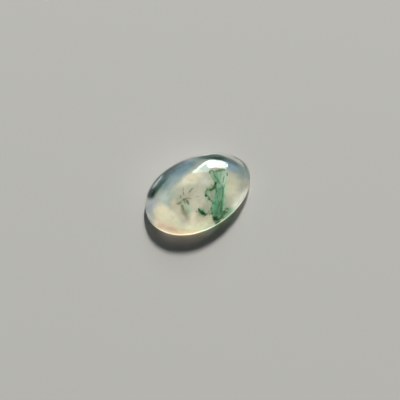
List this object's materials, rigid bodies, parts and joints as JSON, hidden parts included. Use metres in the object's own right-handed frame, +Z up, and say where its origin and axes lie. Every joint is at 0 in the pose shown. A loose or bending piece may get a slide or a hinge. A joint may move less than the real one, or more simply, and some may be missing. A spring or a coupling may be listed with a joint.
{
  "type": "moss agate cabochon",
  "caption": "Polished oval moss agate cabochon: a domed, see-through milky stone with green moss-like inclusions and a flat base.",
  "frame": {"origin": "centre of the flat base, under the middle of the stone", "axes": "+X along the stone's length towards its narrower end, +Y across its width, +Z up through the crown of the dome"},
  "size_m": [0.018, 0.0122, 0.005],
  "materials": {
    "polished_agate": "polished, milky and see-through"
  },
  "bodies": {
    "root": {"moss_agate": "polished_agate"}
  },
  "joints": []
}
